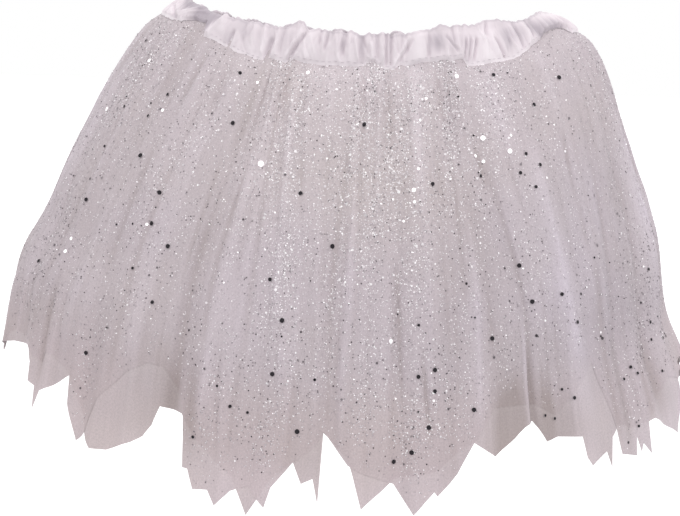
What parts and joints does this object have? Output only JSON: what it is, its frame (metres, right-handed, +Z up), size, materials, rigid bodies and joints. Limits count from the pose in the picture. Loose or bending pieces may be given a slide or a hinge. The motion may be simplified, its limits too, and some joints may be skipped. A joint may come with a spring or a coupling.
{
  "type": "ballet tutu",
  "caption": "Short flared ballet tutu: ruched satin elastic waistband over two gathered layers of glitter tulle and plain tulle with pointed hems.",
  "frame": {"origin": "centre of the ring that the waistband makes, where the wearer's hips hold the skirt up", "axes": "+Z up, out of the waist; the front of the skirt faces -Y; +X is the skirt's wide way, to the viewer's right"},
  "size_m": [0.54, 0.4146, 0.3369],
  "materials": {
    "satin": "ruched white satin with a soft sheen",
    "sequin_tulle": "white net strewn with silver glitter and round sequins",
    "plain_tulle": "plain white net, matt"
  },
  "bodies": {
    "root": {"waistband": "satin", "sequin_tulle": "sequin_tulle", "plain_tulle": "plain_tulle"}
  },
  "joints": []
}
